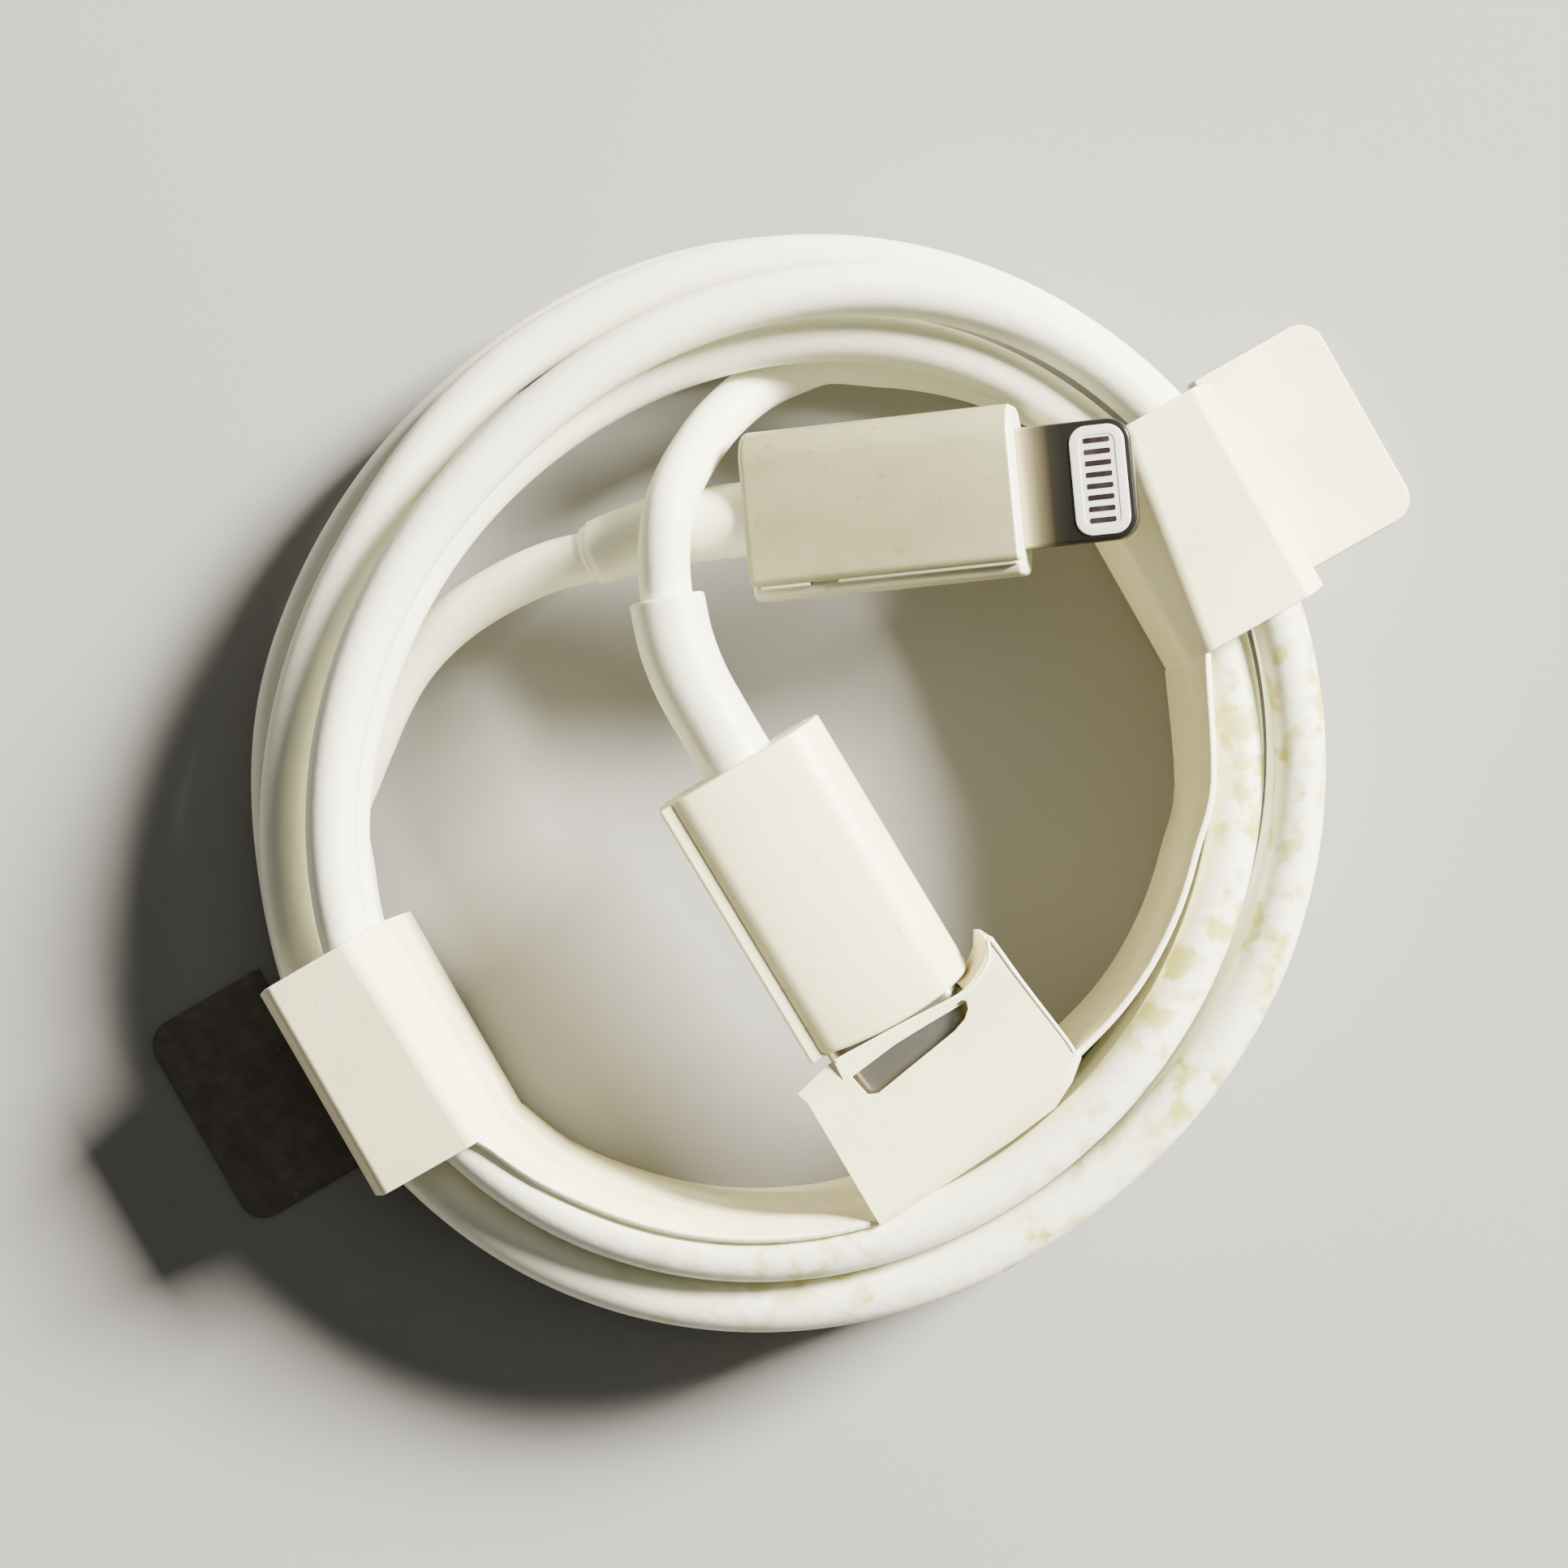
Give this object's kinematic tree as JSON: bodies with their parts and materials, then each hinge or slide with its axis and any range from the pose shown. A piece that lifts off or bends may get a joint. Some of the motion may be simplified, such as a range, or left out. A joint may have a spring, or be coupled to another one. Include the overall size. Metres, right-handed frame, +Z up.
{
  "type": "charging cable",
  "caption": "Coiled white charging cable with a plug at each end, held in a folded card retainer with two fold-out tabs.",
  "frame": {"origin": "middle of the card retainer's footprint, at the level it rests on", "axes": "+Z up out of the coil, +X along the longest side, towards the white tab"},
  "size_m": [0.0738, 0.0626, 0.0164],
  "materials": {
    "cord": "matte",
    "boot": "satin",
    "steel": "satin",
    "black_plastic": "matte",
    "gold": "polished",
    "board": "satin",
    "copper": "satin",
    "card_white": "matte",
    "card_dark": "matte"
  },
  "bodies": {
    "cable_and_retainer": {"cord_coil": "cord", "charger_lead": "cord", "phone_lead": "cord", "charger_boot": "boot", "charger_strain_relief": "boot", "charger_inner_mould": "boot", "phone_boot": "boot", "phone_strain_relief": "boot", "phone_inner_mould": "boot", "phone_contact_insert": "boot", "charger_shell": "steel", "charger_latch_springs": "steel", "charger_ground_springs": "steel", "charger_shield_can": "steel", "phone_steel_tip": "steel", "phone_shield_can": "steel", "charger_contact_housing": "black_plastic", "charger_chip": "black_plastic", "phone_chips": "black_plastic", "charger_contacts_top": "gold", "charger_contacts_bottom": "gold", "phone_contacts_top": "gold", "phone_contacts_bottom": "gold", "charger_circuit_board": "board", "phone_circuit_board": "board", "charger_crimp_ferrule": "copper", "charger_core_wires": "copper", "phone_crimp_ferrule": "copper", "phone_core_wires": "copper", "inner_band": "card_white", "left_wrap": "card_white", "right_wrap": "card_white", "plug_holder": "card_white"},
    "left_tab_body": {"left_tab": "card_dark"},
    "right_tab_body": {"right_tab": "card_white"}
  },
  "joints": [
    {"name": "left_tab_fold", "type": "hinge", "parent": "cable_and_retainer", "child": "left_tab_body", "pos_m": [-0.02737, -0.01719, 0.0002], "axis": [-0.5, 0.866, 0], "range_deg": [0, 80]},
    {"name": "right_tab_fold", "type": "hinge", "parent": "cable_and_retainer", "child": "right_tab_body", "pos_m": [0.02725, 0.01714, 0.0002], "axis": [0.4924, -0.8704, 0], "range_deg": [0, 80]}
  ]
}
